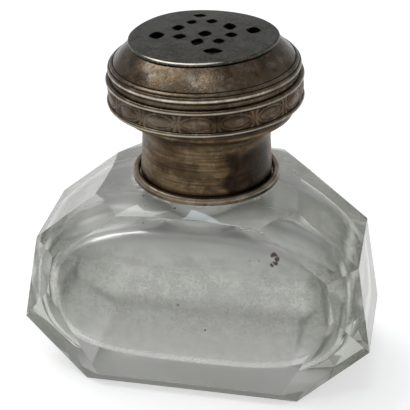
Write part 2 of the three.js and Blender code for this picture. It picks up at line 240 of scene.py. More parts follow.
def rounded(outline, radius=EDGE_ROUND):
    """The closed outline with each sharp corner turned by a small curve."""
    points = [np.array(p) for p in outline]
    result = []
    for i, corner in enumerate(points):
        before, after = points[i - 1] - corner, points[(i + 1) % len(points)] - corner
        lengths = np.linalg.norm(before), np.linalg.norm(after)
        turn = math.acos(np.clip(-before @ after / (lengths[0] * lengths[1]), -1, 1))
        if turn < SHARP_CORNER:
            result.append(corner)
            continue
        back = corner + before * min(radius / lengths[0], 0.45)
        on = corner + after * min(radius / lengths[1], 0.45)
        for t in np.linspace(0, 1, CORNER_STEPS + 1):
            result.append(back * (1 - t) ** 2 + corner * 2 * t * (1 - t) + on * t * t)
    return result


def dense(outline, step):
    """The closed outline with points added so that none are further apart than the step."""
    result = []
    for i, a in enumerate(outline):
        a, b = np.array(a), np.array(outline[(i + 1) % len(outline)])
        count = max(1, math.ceil(np.linalg.norm(b - a) / step))
        result += [a + (b - a) * k / count for k in range(count)]
    return np.array(result)


def section_wear(section, seams, ground=None):
    """Rubbed where the section is convex, and dark where it is hollow or meets another piece.

    Of what stands out past the ground radius, only the crest is rubbed.
    """
    before = section - np.roll(section, 1, 0)
    after = np.roll(section, -1, 0) - section
    turn = np.arctan2(
        before[:, 0] * after[:, 1] - before[:, 1] * after[:, 0], (before * after).sum(1)
    )
    length = (np.linalg.norm(before, axis=1) + np.linalg.norm(after, axis=1)) / 2
    place = np.cumsum(length)
    bend = np.zeros(len(section))
    for i in range(len(section)):
        away = np.abs(place - place[i])
        away = np.minimum(away, place[-1] - away)
        weight = np.exp(-((away / WEAR_REACH) ** 2))
        bend[i] = (weight * turn).sum() / (weight * length).sum() * MM
    wear_and_painted_light = np.tanh(bend / WEAR_BEND)
    wear_and_painted_light[wear_and_painted_light < 0] *= HOLLOW_DARK
    if ground:
        crest = np.clip((section[:, 0] - ground) / (section[:, 0].max() - ground), 0, 1)
        wear_and_painted_light = np.where(wear_and_painted_light > 0, wear_and_painted_light * crest ** CREST_SHARPNESS, wear_and_painted_light)
    for seam in seams:
        distance = np.linalg.norm(section - np.array(seam), axis=1)
        wear_and_painted_light -= SEAM_DARK * np.exp(-((distance / SEAM_REACH) ** 2))
    return wear_and_painted_light


def waver(angle, height, scale, seed):
    """Smooth noise on the surface of a turned piece, without a seam."""
    up = height / MM * scale / NOISE_RADIUS + seed
    return noise.noise(Vector((math.cos(angle) * scale, math.sin(angle) * scale, up)))


def turned(section, wear_and_painted_light, seed, dent, shift=None, rub_and_highlight=None):
    """A ring turned from a closed section, a little out of true, and rubbed more at some angles, where
    a painted highlight is added.
    """
    points, values = [], []
    for (r, z), w in zip(section, wear_and_painted_light):
        for j in range(SILVER_SEGMENTS):
            angle = 2 * math.pi * j / SILVER_SEGMENTS
            out = dent * (waver(angle, z, 1.3, seed) + 0.4 * waver(angle, z, 4.5, seed + 7))
            up = 0
            if shift:
                more_out, up = shift(angle, z)
                out += more_out
            points.append(((r + out) * math.cos(angle), (r + out) * math.sin(angle), z + up))
            values.append(w * rub_and_highlight(angle) if rub_and_highlight and w > 0 else w)
    mesh = new_mesh("turned", points, grid_faces(len(section), SILVER_SEGMENTS, True))
    set_values(mesh, "wear_and_painted_light", values)
    finish_mesh(mesh)
    return mesh


def shade(mesh, angle):
    """Shades faces smooth where they meet at less than this angle."""
    mesh.shade_smooth()
    mesh.set_sharp_from_angle(angle=angle)


def finish_mesh(mesh, angle=SMOOTH_ANGLE):
    """Turns the faces outwards and shades them."""
    mesh.validate()
    work = bmesh.new()
    work.from_mesh(mesh)
    bmesh.ops.recalc_face_normals(work, faces=work.faces)
    work.to_mesh(mesh)
    work.free()
    shade(mesh, angle)


def bell(value):
    """1 at 0, falling off smoothly on both sides."""
    return math.exp(-(value ** 2))


def smooth_step(start, end, value):
    """Rises smoothly from 0 at the start to 1 at the end."""
    share = min(1.0, max(0.0, (value - start) / (end - start)))
    return share * share * (3 - 2 * share)


# Materials

class Shader:
    """A node material built by short calls."""

    def __init__(self, name):
        self.material = bpy.data.materials.new(name)
        self.material.use_nodes = True
        self.tree = self.material.node_tree
        self.shader = self.tree.nodes["Principled BSDF"]
        self.output = self.tree.nodes["Material Output"]
        self.place = self.add("ShaderNodeTexCoord").outputs["Object"]

    def add(self, kind, inputs=None, **settings):
        """Adds a node with these inputs, which are values or other nodes' outputs."""
        node = self.tree.nodes.new(kind)
        for key, value in settings.items():
            setattr(node, key, value)
        for key, value in (inputs or {}).items():
            self.put(node.inputs[key], value)
        return node

    def put(self, socket, value):
        """Links an output to the socket, or sets its value."""
        if isinstance(value, bpy.types.NodeSocket):
            self.tree.links.new(value, socket)
        elif hasattr(value, "__len__") and len(value) == 3 and socket.type == "RGBA":
            socket.default_value = (*value, 1)
        else:
            socket.default_value = value

    def set(self, **inputs):
        """Sets inputs of the main shader."""
        for key, value in inputs.items():
            self.put(self.shader.inputs[key.replace("_", " ")], value)

    def stretched(self, x, y, z):
        """The place on the object with each axis scaled."""
        inputs = {0: self.place, 1: (x, y, z)}
        return self.add("ShaderNodeVectorMath", inputs, operation="MULTIPLY").outputs[0]

    def noise(self, size, detail, roughness, place=None):
        """Noise from 0 to 1 whose features are about this size in metres."""
        inputs = {
            "Vector": place or self.place,
            "Scale": 1 / size,
            "Detail": detail,
            "Roughness": roughness,
        }
        return self.add("ShaderNodeTexNoise", inputs).outputs["Fac"]

    def math(self, operation, a, b=0.0, clamp=False):
        """Arithmetic on values or outputs."""
        inputs = {0: a, 1: b}
        return self.add("ShaderNodeMath", inputs, operation=operation, use_clamp=clamp).outputs[0]

    def between(self, value, start, end, to_start=0.0, to_end=1.0):
        """A smooth ramp of the value from the start to the end."""
        inputs = {
            "Value": value,
            "From Min": start,
            "From Max": end,
            "To Min": to_start,
            "To Max": to_end,
        }
        return self.add("ShaderNodeMapRange", inputs, interpolation_type="SMOOTHSTEP").outputs[0]

    def mix(self, share, a, b):
        """The first colour with this share of the second."""
        node = self.add("ShaderNodeMix", data_type="RGBA", blend_type="MIX")
        for socket, value in ((node.inputs[0], share), (node.inputs[6], a), (node.inputs[7], b)):
            self.put(socket, value)
        return node.outputs[2]

    def attribute(self, name):
        """The mesh's value of this name, or 0 where it has none."""
        return self.add("ShaderNodeAttribute", attribute_name=name).outputs["Fac"]

    def bump(self, height, strength, distance):
        """Lets the height roughen the surface's shading."""
        inputs = {"Height": height, "Strength": strength, "Distance": distance}
        self.set(Normal=self.add("ShaderNodeBump", inputs).outputs[0])


def silver(name, ground, warm, dark, bright, rough=0.36, lines=None, mottle=0.5, copper=None):
    """Tarnished silver: a patchy ground, brown bloom, black hollows and edges rubbed bright, with
    painted shade and painted highlights where a piece's values carry them.
    """
    s = Shader(name)
    wear_and_painted_light = s.attribute("wear_and_painted_light")
    patches = s.noise(9 * MM, 5, 0.6)
    bloom = s.noise(3.2 * MM, 6, 0.65)
    grain = s.noise(0.5 * MM, 4, 0.7)
    uneven = s.math("SUBTRACT", bloom, 0.5)
    colour = s.mix(s.between(patches, 0.38, 0.62), ground, warm)
    colour = s.mix(s.between(bloom, 0.5, 0.72, 0.0, mottle), colour, bright)
    if copper:
        fleck = s.noise(0.8 * MM, 3, 0.7)
        colour = s.mix(s.between(fleck, 0.5, 0.7, 0.0, 0.3), colour, copper)
    colour = s.mix(s.between(grain, 0.5, 0.75, 0.0, 0.35), colour, dark)
    blotch = s.noise(5 * MM, 6, 0.65, s.stretched(1, 1, 1.6))
    colour = s.mix(s.between(blotch, 0.48, 0.6, 0.0, 0.48), colour, dark)
    if lines:
        spun = s.noise(lines, 3, 0.6, s.stretched(0.03, 0.03, 1))
        colour = s.mix(s.between(spun, 0.42, 0.66, 0.0, 0.55), colour, dark)
    # Hollows and seams go dark: tarnish, and painted shade where a piece puts seams under the lid.
    hollow = s.between(s.math("ADD", wear_and_painted_light, s.math("MULTIPLY", uneven, 0.6)), -0.15, -0.75)
    colour = s.mix(hollow, colour, dark)
    runs = s.noise(2 * MM, 6, 0.65, s.stretched(1, 1, 0.4))
    stain_and_shade = s.math("MULTIPLY", s.attribute("stain_and_shade"), s.between(runs, 0.3, 0.65, 1.0, 0.75))
    colour = s.mix(stain_and_shade, colour, dark)
    # Crests go bright: rubbed wear, and painted highlights where a piece strengthens them at the front.
    rubbed = s.between(s.math("ADD", wear_and_painted_light, s.math("MULTIPLY", uneven, 0.7)), 0.25, 0.85)
    colour = s.mix(s.math("MULTIPLY", rubbed, 0.8), colour, bright)
    roughness = s.between(grain, 0.3, 0.7, rough - 0.06, rough + 0.08)
    roughness = s.math("SUBTRACT", roughness, s.math("MULTIPLY", rubbed, 0.1))
    roughness = s.math("ADD", roughness, s.math("MULTIPLY", hollow, 0.25), True)
    s.set(Base_Color=colour, Metallic=1.0, Roughness=roughness)
    height = s.math("ADD", s.math("MULTIPLY", bloom, 0.9), s.math("MULTIPLY", grain, 0.5))
    if lines:
        height = s.math("ADD", height, s.math("MULTIPLY", spun, 0.6))
    s.bump(height, 0.5, 0.12 * MM)
    return s.material


# Specks of dirt, in millimetres: along, height and size on the front panel
PANEL_DIRT = (
    (16.4, 34.9, 0.75),
    (16.95, 34.0, 0.7),
    (16.7, 33.1, 0.6),
    (16.1, 32.6, 0.5),
    (-1.9, 21.6, 0.25),
    (3.4, 16.4, 0.22),
    (11.9, 33.1, 0.16),
    (13.6, 33.3, 0.16),
    (-8.4, 39.1, 0.18),
)
# And along, depth, height and size on the shoulder
SHOULDER_DIRT = (
    (-2.7, -14.9, 41.7, 0.34),
    (-9.4, -11.7, 42.0, 0.3),
    (-11.2, -11.2, 41.7, 0.22),
    (-8.6, -14.4, 41.4, 0.18),
)


def dirt_places():
    """Place and size of every speck of dirt, in millimetres."""
    panel = BOXES["glass_body"][0].y / MM
    return [(x, panel, z, size) for x, z, size in PANEL_DIRT] + list(SHOULDER_DIRT)


def spots(s, places, wobble):
    """1 in the ragged spots given, 0 elsewhere."""
    mask = 0.0
    for x, y, z, size in places:
        inputs = {0: s.place, 1: (x * MM, y * MM, z * MM)}
        away = s.add("ShaderNodeVectorMath", inputs, operation="DISTANCE").outputs["Value"]
        away = s.math("ADD", away, s.math("MULTIPLY", wobble, size))
        mask = s.math("MAXIMUM", s.between(away, size * MM, 0.6 * size * MM), mask)
    return mask


def glass_material():
    """Old clear glass: faintly green, dusty with salt inside, worn at the foot, with specks of dirt;
    painted shade darkens the side facets and the foot's chamfer.
    """
    s = Shader("old_clear_glass")
    parts = s.add("ShaderNodeSeparateXYZ", {0: s.place})
    height = parts.outputs["Z"]
    depth = s.math("ABSOLUTE", parts.outputs["Y"])
    aside = s.math("ABSOLUTE", s.math("SUBTRACT", parts.outputs["X"], AXIS.x))
    film = s.attribute("film")

    # Salt dust on the walls of the hollow, thickest half-way up, and caked under its roof
    streak = s.between(s.noise(9 * MM, 6, 0.6, s.stretched(0.6, 1, 1.3)), 0.42, 0.7, 0.0, 0.5)
    grain = s.between(s.noise(2.6 * MM, 8, 0.75), 0.4, 0.62)
    dust = s.math("ADD", streak, grain)
    dust = s.math("MULTIPLY", dust, s.between(height, *DUST_BELOW))
    dust = s.math("MULTIPLY", dust, s.between(height, *DUST_THICKENS, 0.25, 1.4))
    caked = s.between(height, *CAKED_ABOVE, 0.0, 0.55)
    caked = s.math("MULTIPLY", caked, s.between(depth, *CAKED_BESIDE))
    haze = s.math("MAXIMUM", s.math("MULTIPLY", dust, 0.25), caked)
    haze = s.math("MULTIPLY", film, haze)

    # The pitted sole, and the chamfer round it, worn rougher and painted darker as shade
    sole = s.between(height, *SOLE_BELOW)
    pits = s.between(s.noise(0.9 * MM, 6, 0.8), 0.35, 0.65)
    chamfer = s.between(height, *CHAMFER_BELOW)
    chamfer = s.math("MULTIPLY", chamfer, s.between(depth, *CHAMFER_BESIDE))

    ragged = s.math("SUBTRACT", s.noise(0.7 * MM, 3, 0.6), 0.5)
    dirt = spots(s, dirt_places(), s.math("MULTIPLY", ragged, 1.6 * MM))
    worn = s.math("MAXIMUM", sole, s.math("MAXIMUM", chamfer, dirt))

    # The side facets are painted darker: painted shade for the grey surroundings they show
    outside = s.mix(s.between(aside, *SIDES_BEYOND), CLEAR, SIDE_GLASS_SHADE)
    colour = s.mix(film, outside, s.mix(dust, CLEAR_INSIDE, DUSTY_GLASS))
    colour = s.mix(sole, colour, s.mix(pits, CLEAR_INSIDE, PITTED_GLASS))
    # Painted shade on the foot's chamfer
    colour = s.mix(chamfer, colour, CHAMFER_GLASS_SHADE)
    s.set(
        Base_Color=s.mix(dirt, colour, DIRT_COLOUR),
        Transmission_Weight=s.math("SUBTRACT", s.math("SUBTRACT", 1.0, haze), dirt, True),
        Roughness=s.math("ADD", s.math("MULTIPLY", film, 0.2), s.math("MULTIPLY", worn, 0.45)),
        IOR=GLASS_IOR,
    )
    tint = {"Color": GLASS_TINT, "Density": GLASS_DENSITY}
    absorption = s.add("ShaderNodeVolumeAbsorption", tint)
    s.tree.links.new(absorption.outputs[0], s.output.inputs["Volume"])
    return s.material


def grainy_material(name, size, roughness, dark, light, dull):
    """A dull material of two shades in a fine grain."""
    s = Shader(name)
    grain = s.noise(size, 5, roughness)
    colour = s.mix(s.between(grain, 0.3, 0.7), dark, light)
    s.set(Base_Color=colour, Roughness=s.between(grain, 0.3, 0.7, *dull))
    s.bump(grain, 0.5, 0.2 * MM)
    return s.material


def plaster_material():
    """Chalky set plaster."""
    shades = (0.33, 0.29, 0.23), (0.5, 0.46, 0.38)
    return grainy_material("old_plaster", 0.7 * MM, 0.7, *shades, (0.8, 0.95))


def leather_material():
    """Compressed brown leather."""
    shades = (0.10, 0.055, 0.03), (0.2, 0.12, 0.07)
    return grainy_material("old_leather", 0.9 * MM, 0.6, *shades, (0.6, 0.85))


# Glass flask

def glass_points():
    """Points of the CAD glass round the neck's axis, and whether each is outside the collar."""
    points = np.array([v.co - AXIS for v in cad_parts["glass_body"].data.vertices])
    return points, np.hypot(points[:, 0], points[:, 1]) > reach("foot_ring") + MM


def facet_planes():
    """The flat cuts of the CAD glass, a normal and a point of each, and its shoulder's edge height."""
    points, outside = glass_points()
    outer = points[outside]
    edge = outer[:, 2].max()
    planes = []
    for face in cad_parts["glass_body"].data.polygons:
        corners = points[list(face.vertices)]
        normal = np.array(face.normal)
        above = corners[:, 2].max() > edge + FLAT_TOLERANCE
        inside = (outer @ normal).max() > corners[0] @ normal + FLAT_TOLERANCE
        if above or inside:
            continue
        if all(normal @ n < SAME_PLANE for n, _ in planes):
            planes.append((normal, corners[0]))
    return planes, edge


def shoulder_outline(edge):
    """The eight corners of the shoulder's edge, in order round the axis."""
    points, outside = glass_points()
    at_edge = points[outside & (np.abs(points[:, 2] - edge) < FLAT_TOLERANCE)]
    corners = {(round(x / MM, 2), round(y / MM, 2)) for x, y, _ in at_edge}
    return [np.array(c) * MM for c in sorted(corners, key=lambda c: math.atan2(c[1], c[0]))]


def edge_hit(corners, angle):
    """How far out the shoulder's edge is at this angle, and its rise there."""
    way = np.array((math.cos(angle), math.sin(angle)))
    for a, b in zip(corners, corners[1:] + corners[:1]):
        side = np.column_stack((way, a - b))
        if abs(np.linalg.det(side)) < 1e-12:
            continue
        distance, along = np.linalg.solve(side, a)
        if distance > 0 and -1e-9 <= along <= 1 + 1e-9:
            length = np.linalg.norm(b - a)
            return distance, 4 * along * (1 - along) * SHOULDER_ARCH * length
    raise ValueError("the shoulder's edge is open")


def hollow_point(angle, tilt):
    """Radius and height of the hollow's wall, seen from the hollow's middle at these angles."""
    level, rise = math.cos(tilt), math.sin(tilt)
    height = HOLLOW_ROOF - HOLLOW_MIDDLE if rise > 0 else HOLLOW_MIDDLE - HOLLOW_FLOOR
    power = ROOF_ROUNDNESS if rise > 0 else FLOOR_ROUNDNESS
    across = abs(level * math.cos(angle)) / HOLLOW_HALF_WIDTH
    outline = (across ** power + (abs(rise) / height) ** power) ** (1 / power)
    deep = abs(level * math.sin(angle)) / HOLLOW_HALF_DEPTH
    distance = (outline ** WALL_ROUNDNESS + deep ** WALL_ROUNDNESS) ** (-1 / WALL_ROUNDNESS)
    return distance * level, HOLLOW_MIDDLE + distance * rise


def spread(points, count):
    """Points along the same line, closer together where it bends."""
    points = np.array(points)
    steps = np.diff(points, axis=0)
    length = np.linalg.norm(steps, axis=1)
    heading = np.unwrap(np.arctan2(steps[:, 1], steps[:, 0]))
    bend = np.abs(np.diff(heading, prepend=heading[0]))
    place = np.concatenate(([0], np.cumsum(length / length.sum() + bend / bend.sum())))
    wanted = np.linspace(0, place[-1], count)
    return np.column_stack([np.interp(wanted, place, points[:, k]) for k in range(2)])


def shoulder_column(angle, corners, edge):
    """Radius and height down one meridian from outside the block to the collar's seat."""
    seat, seat_radius = seat_loop()
    out, rise = edge_hit(corners, angle)
    drop = seat - edge - rise
    column = [(BLOCK_RADIUS, BLOCK_LOW)]
    for t in (*np.linspace(3, 1.3, 4), *np.linspace(1.1, 0, 15)):
        r = seat_radius + (out - seat_radius) * t
        column.append((min(r, BLOCK_RADIUS), seat - drop * (t - SHOULDER_SWELL * t * (1 - t))))
    return column


def seat_loop():
    """Height and radius of the flat that the collar's foot stands on."""
    return low("foot_ring") - SEAT_GAP, reach("foot_ring") + SEAT_MARGIN


def inner_column(angle):
    """Radius and height from the collar's seat over the neck, down the bore and through the hollow."""
    seat, seat_radius = seat_loop()
    top = high("glass_body")
    bore = NECK_RADIUS - NECK_WALL
    column = [(seat_radius, seat), (NECK_RADIUS + MM, seat), (NECK_RADIUS, seat + MM)]
    column += arc(NECK_RADIUS - LIP_ROUND, top - LIP_ROUND, LIP_ROUND, LIP_ROUND, 0, 90, 4)
    column += arc(bore + LIP_ROUND, top - LIP_ROUND, LIP_ROUND, LIP_ROUND, 90, 180, 4)
    wall = [hollow_point(angle, t) for t in np.linspace(math.pi / 2, -math.pi / 2, 400)]
    wall = [p for p in wall if p[0] > bore + BORE_FILLET or p[1] < HOLLOW_MIDDLE]
    start = wall[0][1] + BORE_FILLET
    column += [(bore, z) for z in np.linspace(top - LIP_ROUND, start, 8)[1:-1]]
    column += arc(bore + BORE_FILLET, start, BORE_FILLET, BORE_FILLET, 180, 270, 6)[:-1]
    return column + [tuple(p) for p in spread(wall, HOLLOW_ROWS)[:-1]]


def hollow_shift(height):
    """How far along X the hollow stands from the neck's axis at this height."""
    return HOLLOW_SHIFT * smooth_step(HOLLOW_ROOF, HOLLOW_MIDDLE, height)


def sheet(columns, angles, film):
    """A mesh through the same rows of points on every meridian."""
    rows = len(columns[0])
    points = []
    for i in range(rows):
        for column, a in zip(columns, angles):
            r, z = column[i]
            points.append((r * math.cos(a) + film * hollow_shift(z), r * math.sin(a), z))
    mesh = new_mesh("glass_sheet", points, grid_faces(rows, len(angles), False))
    set_values(mesh, "film", [film] * len(points))
    mesh.shade_smooth()
    return mesh


def glass_flask():
    """A block cut by the CAD facets, with a domed shoulder, worn edges, a neck and a hollow."""
    planes, edge = facet_planes()
    corners = shoulder_outline(edge)
    angles = [2 * math.pi * (j + 0.5) / GLASS_SEGMENTS for j in range(GLASS_SEGMENTS)]
    work = bmesh.new()
    work.from_mesh(sheet([shoulder_column(a, corners, edge) for a in angles], angles, 0.0))
    for normal, point in sorted(planes, key=lambda p: p[0][2]):
        cut_facet(work, normal, point)
    sharp = [e for e in work.edges if e.calc_face_angle(0) > ARRIS_ANGLE]
    arrises = [e for e in sharp if not all(f.smooth for f in e.link_faces)]
    worn = {"offset": ARRIS_WIDTH, "segments": 2, "profile": 0.5, "clamp_overlap": True}
    bmesh.ops.bevel(work, geom=arrises, affect="EDGES", **worn)
    work.from_mesh(sheet([inner_column(a) for a in angles], angles, 1.0))
    bmesh.ops.remove_doubles(work, verts=work.verts, dist=JOIN_DISTANCE)
    rim = [e for e in work.edges if e.is_boundary]
    bmesh.ops.contextual_create(work, geom=rim)
    bmesh.ops.recalc_face_normals(work, faces=work.faces)
    mesh = bpy.data.meshes.new("glass_flask")
    work.to_mesh(mesh)
    work.free()
    new_piece("glass_flask", mesh, "flask", ["glass_body"], glass_material())


def cut_facet(work, normal, point):
    """Cuts off what lies past a plane and closes the glass there with one flat facet."""
    geometry = work.verts[:] + work.edges[:] + work.faces[:]
    cut = bmesh.ops.bisect_plane(
        work, geom=geometry, dist=CUT_TOLERANCE, plane_co=point, plane_no=normal, clear_outer=True
    )
    edges = [e for e in cut["geom_cut"] if isinstance(e, bmesh.types.BMEdge)]
    for face in bmesh.ops.holes_fill(work, edges=edges, sides=0)["faces"]:
        face.smooth = False


# Collar

def stain_at(mesh, places):
    """Dark tarnish round given points of the surface: angle in degrees, height and reach in metres."""
    values = np.zeros(len(mesh.vertices))
    for i, v in enumerate(mesh.vertices):
        r = math.hypot(v.co.x, v.co.y)
        for angle, height, size in places:
            a = math.radians(angle)
            distance = math.dist(v.co, (r * math.cos(a), r * math.sin(a), height))
            values[i] = max(values[i], bell(distance / size))
    set_values(mesh, "stain_and_shade", values)


SPUN_LINE = 3.9 * MM  # height above the collar's foot
SPUN_LINE_WIDTH = 0.3 * MM
SPUN_LINE_HEIGHT = 0.06 * MM
SPUN_LINE_STARTS = (-125, -110)  # degrees
SPUN_LINE_ENDS = (-75, -62)

# Black patch on the collar: degrees round it, and millimetres above its foot
PATCH_LEFT = (-65, -61)
PATCH_RIGHT = (-18, 6)
PATCH_TOP = (8.2, 10.0)
PATCH_BOTTOM = (0.3, 1.8)
PATCH_SLANT = (-58, -32)  # where its lower edge comes down
PATCH_SLANT_DROP = 2
# Painted shade of a small notch under the lid
SPOT_ANGLE = math.radians(-165)
SPOT_RADIUS = 12.6 * MM
SPOT_HEIGHT = 10.9 * MM
SPOT_SIZE = 0.7 * MM


def spun_line(angle, up):
    """A faint raised line left by the spinning tool, on the front of the collar only."""
    degrees = math.degrees(math.remainder(angle, 2 * math.pi))
    share = smooth_step(*SPUN_LINE_STARTS, degrees) * (1 - smooth_step(*SPUN_LINE_ENDS, degrees))
    return SPUN_LINE_HEIGHT * share * bell((up - SPUN_LINE) / SPUN_LINE_WIDTH)


def sleeve_stain(mesh, foot):
    """A black patch on the front right of the collar, sharp on its left, and a spot of painted shade
    for a small notch under the lid.
    """
    values = []
    spot = Vector((SPOT_RADIUS, 0, foot + SPOT_HEIGHT))
    spot.rotate(Matrix.Rotation(SPOT_ANGLE, 3, "Z"))
    for v in mesh.vertices:
        angle = math.degrees(math.atan2(v.co.y, v.co.x))
        up = (v.co.z - foot) / MM
        wobble = waver(math.radians(angle), v.co.z, 4.0, 61)
        left = smooth_step(*PATCH_LEFT, angle + 6 * wobble)
        right = 1 - smooth_step(*PATCH_RIGHT, angle + 8 * wobble)
        top = 1 - smooth_step(*PATCH_TOP, up + 1.2 * wobble)
        drop = smooth_step(*PATCH_SLANT, angle) * PATCH_SLANT_DROP
        bottom = smooth_step(*PATCH_BOTTOM, up + drop)
        # The patch is tarnish; the spot is the notch's painted shade
        mark = bell((v.co - spot).length / SPOT_SIZE)
        values.append(max(left * right * top * bottom, 1.4 * mark))
    set_values(mesh, "stain_and_shade", values)


def collar_sleeve():
    """The waisted collar with its trumpet mouth and an uneven foot, with shade painted on its rim under
    the lid.
    """
    foot, top = low("collar_sleeve"), high("collar_sleeve")
    rim = reach("collar_sleeve")
    waist = foot + COLLAR_WAIST_HEIGHT
    under = top - COLLAR_WALL
    out = arc(rim, waist, rim - COLLAR_WAIST_RADIUS, under - waist, 180, 90, 24)
    back = arc(rim, waist, rim - COLLAR_WAIST_RADIUS + COLLAR_WALL, top - waist, 90, 180, 12)
    swage = [(COLLAR_FOOT_RADIUS, foot), (COLLAR_FOOT_RADIUS - 0.05 * MM, foot + 0.9 * MM)]
    outline = rounded([(COLLAR_FOOT_RADIUS - COLLAR_WALL, foot), *swage, *out, *back])
    section = dense(outline, 0.22 * MM)
    # The seams at the rim paint the shade under the lid; the one at the foot is the dark joint with the
    # ring.
    seams = [(COLLAR_FOOT_RADIUS, foot), (rim, top), (rim, under), (rim - MM, under)]
    wear_and_painted_light = section_wear(section, seams)
    # No rubbed brightness near the top, which keeps the rim in its painted shade.
    wear_and_painted_light = np.where(section[:, 1] > top - 1.5 * MM, np.minimum(wear_and_painted_light, 0), wear_and_painted_light)

    def hand_work(angle, z):
        share = max(0.0, 1 - (z - foot) / (1.6 * MM))
        out = 0.05 * MM * share * waver(angle, 0, 3.0, 21) + spun_line(angle, z - foot)
        return out, 0.22 * MM * share * abs(waver(angle, 0, 5.0, 33))

    mesh = turned(section, wear_and_painted_light, 3, 0.08 * MM, shift=hand_work)
    sleeve_stain(mesh, foot)
    material = silver(
        "collar_silver",
        ground=(0.185, 0.130, 0.072),
        warm=(0.105, 0.066, 0.033),
        dark=(0.014, 0.010, 0.007),
        bright=(0.30, 0.25, 0.18),
        rough=0.42,
        lines=0.45 * MM,
        mottle=0.35,
    )
    new_piece("waisted_collar", mesh, "flask", ["collar_sleeve"], material)


def foot_ring():
    """The wire round the collar's foot."""
    inner, outer = RING_INNER_RADIUS, reach("foot_ring")
    bottom, top = low("foot_ring"), high("foot_ring")
    middle = (inner + outer) / 2
    half = (top - bottom) / 2
    crown = arc(middle, bottom + half, outer - middle, half, 0, 180, 16)
    section = dense(rounded([(inner, bottom), (outer, bottom), *crown]), 0.2 * MM)
    seams = [(outer, bottom), (inner, bottom + half), (inner + 0.2 * MM, top - 0.3 * MM)]
    wear_and_painted_light = section_wear(section, seams)
    mesh = turned(section, np.minimum(wear_and_painted_light, 0.5), 5, 0.04 * MM)
    stain_at(mesh, [(-30, bottom + half, 3 * MM), (150, bottom + half, 6 * MM)])
    material = silver(
        "ring_silver",
        ground=(0.20, 0.158, 0.112),
        warm=(0.145, 0.105, 0.07),
        dark=(0.014, 0.010, 0.007),
        bright=(0.46, 0.41, 0.33),
        mottle=0.4,
    )
    new_piece("foot_ring_wire", mesh, "flask", ["foot_ring"], material)


def collar_seat():
    """The disc that the lid comes down on, painted dark as the shade under the lid."""
    inner = SEAT_INNER_RADIUS
    outer = reach("seat_disc") + SEAT_OVERHANG
    bottom, top = low("seat_disc"), high("seat_disc")
    outline = [(inner, bottom), (outer, bottom), (outer, top), (inner, top)]
    section = dense(rounded(outline, 0.2 * MM), 0.4 * MM)
    # Dark edges and no rubbed brightness, as painted shade under the lid.
    wear_and_painted_light = section_wear(section, [(outer, top), (outer, bottom)])
    mesh = turned(section, np.minimum(wear_and_painted_light, 0), 8, 0.04 * MM)
    # Very dark colours, as painted shade under the lid.
    material = silver(
        "shaded_seat_silver",
        ground=(0.055, 0.042, 0.03),
        warm=(0.045, 0.03, 0.02),
        dark=(0.010, 0.009, 0.007),
        bright=(0.12, 0.10, 0.08),
        mottle=0.3,
    )
    new_piece("collar_seat", mesh, "flask", ["seat_disc"], material)


# Lid

def lid_piece(name, mesh, node, material):
    """Adds a piece of the lid, askew as the whole lid is."""
    pivot = Vector((0, 0, low("bottom_bead_wire")))
    tilt = Matrix.Rotation(LID_TILT, 4, "Y")
    mesh.transform(Matrix.Translation(pivot + LID_SLIP) @ tilt @ Matrix.Translation(-pivot))
    new_piece(name, mesh, "lid", [node], material)


def front_rub_and_highlight(angle):
    """1 at the front left and less behind: the crests' rubbed wear, strengthened at the front left as a
    painted highlight.
    """
    return 0.55 + 0.45 * max(0.0, math.cos(angle - FRONT_LEFT)) ** 2


def bead(name, node, seed, inner, above):
    """A half-round ring; the piece above it stands at the last radius given."""
    bottom, top = low(node), high(node)
    half = (top - bottom) / 2
    round_side = arc(LID_RADIUS, bottom + half, BEAD_PROJECTION, half, -90, 90, 14)
    section = dense(rounded([(inner, bottom), *round_side, (inner, top)]), 0.2 * MM)
    wear_and_painted_light = section_wear(section, [(LID_RADIUS, bottom), (above, top)], LID_RADIUS)
    mesh = turned(section, wear_and_painted_light, seed, 0.05 * MM, rub_and_highlight=front_rub_and_highlight)
    material = silver(name + "_silver", *LID_COLOURS, rough=0.3, mottle=0.4)
    lid_piece(name, mesh, node, material)


def upper_moulding():
    """Cove, bead and fillet under the dome."""
    node = "upper_bead_ring"
    bottom, top = low(node), high(node)
    ground = MOULDING_RADIUS
    inner = ground - 0.9 * MM
    foot = reach("dome")
    cove, round_height, fillet = 0.95 * MM, 1.3 * MM, 0.6 * MM
    cove_middle = bottom + cove / 2
    bead_middle = bottom + cove + round_height / 2
    outline = [
        (inner, bottom),
        *arc(ground, cove_middle, 0.15 * MM, cove / 2, 270, 90, 10),
        *arc(ground, bead_middle, BEAD_PROJECTION, round_height / 2, -75, 75, 14),
        (ground + 0.02 * MM, top - fillet + 0.03 * MM),
        (ground - 0.1 * MM, top - 0.24 * MM),
        (foot + 0.25 * MM, top - 0.03 * MM),
        (foot + 0.02 * MM, top),
        (foot - 0.6 * MM, top),
    ]
    section = dense(rounded(outline, 0.06 * MM), 0.12 * MM)
    seams = [(ground, bottom), (foot, top), (ground, top - fillet)]
    wear_and_painted_light = section_wear(section, seams, ground)
    wear_and_painted_light = np.where(section[:, 1] < bottom + cove, np.maximum(wear_and_painted_light, -0.25), wear_and_painted_light)
    mesh = turned(section, wear_and_painted_light, 11, 0.05 * MM, rub_and_highlight=front_rub_and_highlight)
    material = silver("moulding_silver", *LID_COLOURS[:3], RUBBED_SILVER_AND_HIGHLIGHT, rough=0.3, mottle=0.12)
    lid_piece("cove_and_bead", mesh, node, material)


